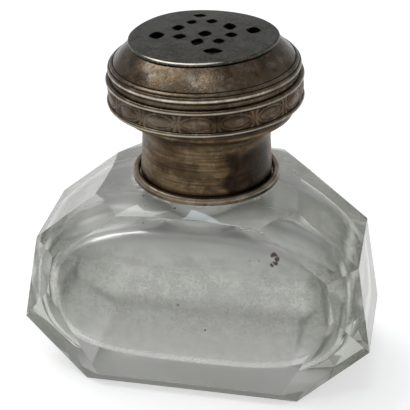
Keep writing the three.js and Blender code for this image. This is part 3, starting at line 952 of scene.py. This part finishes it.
def dome():
    """The spun shoulder between the moulding and the plate."""
    bottom, top = low("dome"), high("dome")
    base = reach("dome")
    rim = reach("pierced_plate") - 0.3 * MM
    wall = 0.6 * MM
    swell = 0.15 * MM
    slope = math.hypot(base - rim, top - bottom)

    def line(inset, t):
        bulge = swell * math.sin(math.pi * t)
        return (
            base - inset - (base - rim) * t + bulge * (top - bottom) / slope,
            bottom + (top - bottom) * t + bulge * (base - rim) / slope,
        )

    outline = [line(0, t) for t in np.linspace(0, 1, 18)]
    outline += [line(wall, t) for t in np.linspace(1, 0, 10)]
    section = dense(rounded(outline, 0.08 * MM), 0.3 * MM)
    mesh = turned(section, section_wear(section, [line(0, 0), line(0, 1)]), 14, 0.12 * MM)
    material = silver(
        "dome_silver",
        ground=(0.108, 0.087, 0.062),
        warm=(0.098, 0.069, 0.044),
        dark=(0.013, 0.010, 0.007),
        bright=(0.27, 0.255, 0.232),
        rough=0.27,
        copper=(0.19, 0.125, 0.08),
    )
    lid_piece("lid_dome", mesh, "dome", material)


# Relief of the ornament band, in millimetres
OVAL_HALF_LENGTH = 2.45
OVAL_HALF_HEIGHT = 1.12
OVAL_RISE = 0.28
FRAME_SIZE = 1.2  # times the oval
FRAME_RISE = 0.12
BAR_RISE = 0.15
BAR_WIDTH = 0.22
BORDER_PLACE = 1.5  # from the band's middle
BORDER_RISE = 0.12
BORDER_WIDTH = 0.1


def ornament_relief(angle, height):
    """Height of the rolled ornament above its ground: ovals in a thin frame, with bent bars between."""
    pitch = 2 * math.pi / OVAL_COUNT
    u = ((angle - OVAL_TURN + pitch / 2) % pitch - pitch / 2) * LID_RADIUS / MM
    v = height / MM
    width = pitch * LID_RADIUS / MM
    oval = math.sqrt((u / OVAL_HALF_LENGTH) ** 2 + (v / OVAL_HALF_HEIGHT) ** 2)
    boss = OVAL_RISE * math.sqrt(max(0.0, 1 - oval ** 2.4))
    frame_line = FRAME_RISE * bell((oval - FRAME_SIZE) / 0.12)
    beside = width / 2 - abs(u)
    bar_place = 0.28 + 0.34 * (v / 1.6) ** 2
    bar = BAR_RISE * bell((beside - bar_place) / BAR_WIDTH)
    border = BORDER_RISE * bell((abs(v) - BORDER_PLACE) / BORDER_WIDTH)
    return max(boss, frame_line, bar, border)


def ornament_band():
    """The rolled strip with its ovals, worn unevenly."""
    node = "ornament_band"
    bottom, top = low(node), high(node)
    inner = LID_RADIUS - BAND_THICKNESS
    ground = LID_RADIUS - BAND_RECESS
    rows, columns = 30, OVAL_COUNT * 44
    middle = (bottom + top) / 2
    points, wear_and_painted_light = [], []
    for z in np.linspace(bottom, top, rows):
        for j in range(columns):
            angle = 2 * math.pi * j / columns
            relief = ornament_relief(angle, z - middle)
            worn = 1 + 0.5 * waver(angle, z, 3.0, 17)
            r = ground + relief * worn * MM + 0.05 * MM * waver(angle, z, 1.5, 18)
            points.append((r * math.cos(angle), r * math.sin(angle), z))
            wear_and_painted_light.append(-0.5 + 2.8 * relief * worn)
    for z in (top, bottom):
        for j in range(columns):
            angle = 2 * math.pi * j / columns
            points.append((inner * math.cos(angle), inner * math.sin(angle), z))
            wear_and_painted_light.append(-1)
    mesh = new_mesh("ornament_band", points, grid_faces(rows + 2, columns, True))
    set_values(mesh, "wear_and_painted_light", np.clip(wear_and_painted_light, -1, 0.5))
    finish_mesh(mesh, BAND_SMOOTH_ANGLE)
    stain_at(mesh, [(-73, top - 0.5 * MM, 1.2 * MM)])
    material = silver(
        "band_silver",
        ground=(0.118, 0.092, 0.064),
        warm=(0.112, 0.072, 0.044),
        dark=(0.013, 0.010, 0.006),
        bright=(0.23, 0.20, 0.165),
        rough=0.4,
    )
    lid_piece("oval_band", mesh, node, material)


# Hand-pierced holes, in millimetres and degrees: distance from the middle, angle, length, breadth, turn
HOLES = (
    (0.3, 102, 2.5, 3.0, 5),
    (7.2, 121, 2.0, 2.3, -8),
    (7.0, 90, 2.2, 2.4, 0),
    (6.4, 152, 2.3, 3.0, 8),
    (6.0, 50, 2.4, 3.6, 15),
    (4.7, -162, 2.5, 2.4, 0),
    (4.9, 4, 2.3, 2.4, 12),
    (3.8, -101, 2.3, 3.2, -5),
    (4.3, -43, 2.2, 2.4, 12),
    (10.5, 106, 2.5, 1.9, -8),
    (9.2, 22, 2.7, 3.4, 0),
    (9.0, -174, 2.9, 3.6, 14),
    (8.0, -69, 3.5, 2.5, 5),
)
PIERCING_SHIFT = np.array((0.37, -0.27)) * MM  # the pattern isn't quite in the middle
HOLE_BLUNTNESS = 1.35  # exponent: 1 is an ellipse, 2 a straight-sided lozenge
HOLE_POINTS = 16


def hole_outline(distance, angle, length, breadth, turn):
    """A lozenge with slightly blunt points, in the plate's plane."""
    a = math.radians(angle)
    middle = np.array((distance * math.cos(a), distance * math.sin(a))) * MM + PIERCING_SHIFT
    t = math.radians(turn)
    along, across = np.array((math.cos(t), math.sin(t))), np.array((-math.sin(t), math.cos(t)))
    points = []
    for k in range(HOLE_POINTS):
        b = 2 * math.pi * k / HOLE_POINTS
        x = math.copysign(abs(math.cos(b)) ** HOLE_BLUNTNESS, math.cos(b)) * length / 2 * MM
        y = math.copysign(abs(math.sin(b)) ** HOLE_BLUNTNESS, math.sin(b)) * breadth / 2 * MM
        points.append(middle + along * x + across * y)
    return np.array(points)


PLATE_CROWN = 0.5 * MM
PLATE_RINGS = 34
PLATE_SEGMENTS = 144
RIM_HIGHLIGHT_FROM = (-155, -112)  # degrees, along the front edge, where a highlight is painted on the rim
RIM_HIGHLIGHT_TO = (-82, -45)
# Where the plate is out of round: angle and width in degrees, and how far
PLATE_BULGES = (
    (128, 26, 0.55 * MM),
    (70, 24, -0.35 * MM),
    (12, 26, 0.45 * MM),
    (-68, 30, -0.5 * MM),
    (180, 40, 0.35 * MM),
)


def plate_bulge(angle):
    """How far the plate's hand-cut edge stands out from a circle at this angle."""
    total = 0.0
    for place, width, size in PLATE_BULGES:
        away = math.degrees(math.remainder(angle - math.radians(place), 2 * math.pi))
        total += size * bell(away / width)
    return total


def plate_blank(outer, bottom, top):
    """The crowned plate with its uneven edge, before it is pierced."""
    radii = list(np.linspace(0.2 * MM, outer - 0.12 * MM, PLATE_RINGS))
    section = [(r, top) for r in radii] + [(outer, top - 0.1 * MM), (outer, bottom + 0.1 * MM)]
    section += [(r, bottom) for r in reversed(radii)]
    points = []
    for r, z in section:
        for j in range(PLATE_SEGMENTS):
            angle = 2 * math.pi * j / PLATE_SEGMENTS
            share = (r / outer) ** 3
            out = share * plate_bulge(angle)
            rise = 0.16 * MM * waver(angle, 0, 1.1, 44) * share + PLATE_CROWN * (1 - (r / outer) ** 2)
            points.append(((r + out) * math.cos(angle), (r + out) * math.sin(angle), z + rise))
    faces = grid_faces(len(section), PLATE_SEGMENTS, False)
    last = (len(section) - 1) * PLATE_SEGMENTS
    faces += [tuple(range(PLATE_SEGMENTS)), tuple(last + j for j in range(PLATE_SEGMENTS))]
    mesh = new_mesh("pierced_plate", points, faces)
    finish_mesh(mesh)
    return mesh


def plate_marks_and_highlight(mesh, outlines, outer, bottom, top):
    """Dark round the holes and underneath, and a painted highlight along the front edge."""
    wear_and_painted_light = []
    for v in mesh.vertices:
        place = np.array(v.co[:2])
        nearest = min(np.linalg.norm(o - place, axis=1).min() for o in outlines)
        # Darker round the holes
        dark_round_holes = -0.6 * bell(nearest / (0.35 * MM))
        angle = math.degrees(math.atan2(place[1], place[0]))
        front = smooth_step(*RIM_HIGHLIGHT_FROM, angle) * (1 - smooth_step(*RIM_HIGHLIGHT_TO, angle))
        edge = 0.0
        if np.linalg.norm(place) > outer - 1.3 * MM:
            edge = max(0.0, 1 - abs(v.co.z - top) / (0.5 * MM))
        # The front edge's painted highlight
        rim = front * edge * rim_share(place, outer)
        wear_and_painted_light.append(dark_round_holes + rim if v.co.z > bottom + 0.3 * MM else -0.6)
    set_values(mesh, "wear_and_painted_light", wear_and_painted_light)


def pierced_plate():
    """The plate with its hand-pierced holes."""
    node = "pierced_plate"
    bottom, top = low(node), high(node)
    outer = reach(node)
    outlines = [hole_outline(*hole) for hole in HOLES]
    mesh = plate_blank(outer, bottom, top)
    punch_holes(mesh, outlines, bottom - MM, top + MM)
    plate_marks_and_highlight(mesh, outlines, outer, bottom, top)
    lid_piece("pierced_top", mesh, node, plate_material())


def rim_share(place, outer):
    """1 at the plate's uneven edge, falling off inwards."""
    edge = outer + plate_bulge(math.atan2(place[1], place[0]))
    return bell((edge - np.linalg.norm(place)) / (0.2 * MM))


def punch_holes(mesh, outlines, bottom, top):
    """Cuts the holes through the plate."""
    plate = new_object("plate_blank", mesh)
    points, faces = [], []
    for outline in outlines:
        start, count = len(points), len(outline)
        points += [(x, y, bottom) for x, y in outline] + [(x, y, top) for x, y in outline]
        faces.append(tuple(start + k for k in reversed(range(count))))
        faces.append(tuple(start + count + k for k in range(count)))
        for k in range(count):
            a, b = start + k, start + (k + 1) % count
            faces.append((a, b, b + count, a + count))
    punches = new_object("punches", new_mesh("punches", points, faces))
    cut = plate.modifiers.new("holes", "BOOLEAN")
    cut.operation = "DIFFERENCE"
    cut.solver = "EXACT"
    cut.object = punches
    bpy.context.view_layer.update()
    shaped = plate.evaluated_get(bpy.context.evaluated_depsgraph_get()).to_mesh()
    work = bmesh.new()
    work.from_mesh(shaped)
    work.to_mesh(mesh)
    work.free()
    bpy.data.objects.remove(plate)
    bpy.data.objects.remove(punches)
    shade(mesh, SMOOTH_ANGLE)


def plate_material():
    """Grey tarnished silver with blotches, fine scratches and a painted highlight on the front edge."""
    s = Shader("plate_silver")
    wear_and_painted_light = s.attribute("wear_and_painted_light")
    patches = s.noise(8 * MM, 5, 0.6)
    bloom = s.noise(1.6 * MM, 6, 0.65)
    waves = s.add("ShaderNodeTexNoise", {"Vector": s.place, "Scale": 120.0}).outputs["Color"]
    swirl = {0: s.mix(0.12, s.place, waves), 1: (0.1, 1, 1)}
    along = s.add("ShaderNodeVectorMath", swirl, operation="MULTIPLY").outputs[0]
    scratch = s.noise(0.45 * MM, 2, 0.6, along)
    blotch = s.noise(3.4 * MM, 6, 0.7)
    colour = s.mix(s.between(patches, 0.4, 0.65), (0.058, 0.057, 0.045), (0.055, 0.047, 0.031))
    colour = s.mix(s.between(blotch, 0.43, 0.57, 0.0, 0.85), colour, (0.022, 0.021, 0.016))
    colour = s.mix(s.between(bloom, 0.5, 0.66, 0.0, 0.5), colour, (0.12, 0.12, 0.104))
    colour = s.mix(s.between(scratch, 0.56, 0.66, 0.0, 0.8), colour, (0.38, 0.38, 0.34))
    # The front edge's painted highlight
    colour = s.mix(s.between(wear_and_painted_light, 0.3, 0.8), colour, (0.78, 0.74, 0.63))
    colour = s.mix(s.between(wear_and_painted_light, -0.2, -0.6), colour, (0.02, 0.018, 0.015))
    s.set(Base_Color=colour, Metallic=1.0, Roughness=s.between(bloom, 0.3, 0.7, 0.30, 0.42))
    height = s.math("ADD", s.math("MULTIPLY", scratch, 0.6), s.math("MULTIPLY", bloom, 1.2))
    height = s.math("ADD", height, s.math("MULTIPLY", blotch, 1.6))
    s.bump(height, 0.6, 0.16 * MM)
    return s.material


# Inner pieces keep their CAD shapes

def finish_inner_pieces():
    """Gives the hidden CAD pieces their finishes."""
    bare = silver(
        "inner_silver",
        ground=(0.42, 0.37, 0.29),
        warm=(0.34, 0.27, 0.19),
        dark=(0.05, 0.04, 0.03),
        bright=(0.6, 0.55, 0.46),
        mottle=0.4,
    )
    finishes = {
        "neck_cement": plaster_material(),
        "threaded_spigot": bare,
        "thread_liner": bare,
        "sealing_washer": leather_material(),
    }
    for node, material in finishes.items():
        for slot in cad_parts[node].material_slots:
            slot.material = material


# Stage and camera

def floor_material():
    """A pale floor that is white to the camera and in reflections, and keeps its shadow."""
    s = Shader("floor")
    light_path = s.add("ShaderNodeLightPath")
    seen = s.math("MAXIMUM", light_path.outputs["Is Camera Ray"], light_path.outputs["Is Glossy Ray"])
    seen = s.math("MAXIMUM", seen, light_path.outputs["Is Transmission Ray"])
    s.set(Base_Color=FLOOR_COLOUR, Roughness=1.0, Specular_IOR_Level=0.0)
    strength = s.math("MULTIPLY", seen, FLOOR_GLOW)
    glow = s.add("ShaderNodeEmission", {"Color": (1, 1, 1), "Strength": strength})
    total = s.add("ShaderNodeAddShader", {0: s.shader.outputs[0], 1: glow.outputs[0]})
    s.tree.links.new(total.outputs[0], s.output.inputs["Surface"])
    return s.material


def stage():
    """The floor, the sky and the lamps."""
    half = FLOOR_SIDE / 2
    corners = [(-half, -half), (half, -half), (half, half), (-half, half)]
    mesh = new_mesh("floor", [(x, y, -FLOOR_DROP) for x, y in corners], [(0, 1, 2, 3)])
    mesh.materials.append(floor_material())
    floor = new_object("floor", mesh)

    world = bpy.data.worlds.new("studio")
    world.use_nodes = True
    world.node_tree.nodes["Background"].inputs["Color"].default_value = (*WORLD_COLOUR, 1)
    bpy.context.scene.world = world

    key = bpy.data.lights.new("key", "SUN")
    key.energy = KEY_STRENGTH
    key.angle = KEY_ANGLE
    place_light(key, KEY_FROM)
    for name, start, colour, power in LAMPS:
        lamp = bpy.data.lights.new(name, "AREA")
        lamp.size = LAMP_SIDE
        lamp.energy = power
        lamp.color = colour
        place_light(lamp, start)


def place_light(light, start):
    """Sets a lamp at its place, turned to the object."""
    lamp = new_object(light.name, light)
    lamp.location = start
    lamp.rotation_euler = (VIEW_AIM - start).to_track_quat("-Z", "Y").to_euler()


def photo_camera():
    """The camera as it stood for the photograph."""
    data = bpy.data.cameras.new("photo_camera")
    data.sensor_width = SENSOR
    data.lens = FOCAL_LENGTH / PHOTO_SIDE * SENSOR
    camera = new_object("photo_camera", data)
    level = math.cos(VIEW_ELEVATION)
    away = Vector(
        (level * math.sin(VIEW_AZIMUTH), -level * math.cos(VIEW_AZIMUTH), math.sin(VIEW_ELEVATION))
    )
    camera.location = VIEW_AIM + away * VIEW_DISTANCE
    camera.rotation_euler = (-away).to_track_quat("-Z", "Y").to_euler()
    bpy.context.scene.camera = camera


bpy.context.scene.view_settings.view_transform = "Standard"
bpy.context.scene.cycles.max_bounces = BOUNCES
bpy.context.scene.cycles.glossy_bounces = BOUNCES
bpy.context.scene.cycles.transmission_bounces = BOUNCES
photo_camera()
stage()
glass_flask()
collar_sleeve()
foot_ring()
collar_seat()
bead("bottom_bead", "bottom_bead_wire", 20, BOTTOM_BEAD_INNER_RADIUS, LID_RADIUS)
ornament_band()
bead("lower_bead", "lower_bead_ring", 23, LOWER_BEAD_INNER_RADIUS, MOULDING_RADIUS)
upper_moulding()
dome()
pierced_plate()
finish_inner_pieces()
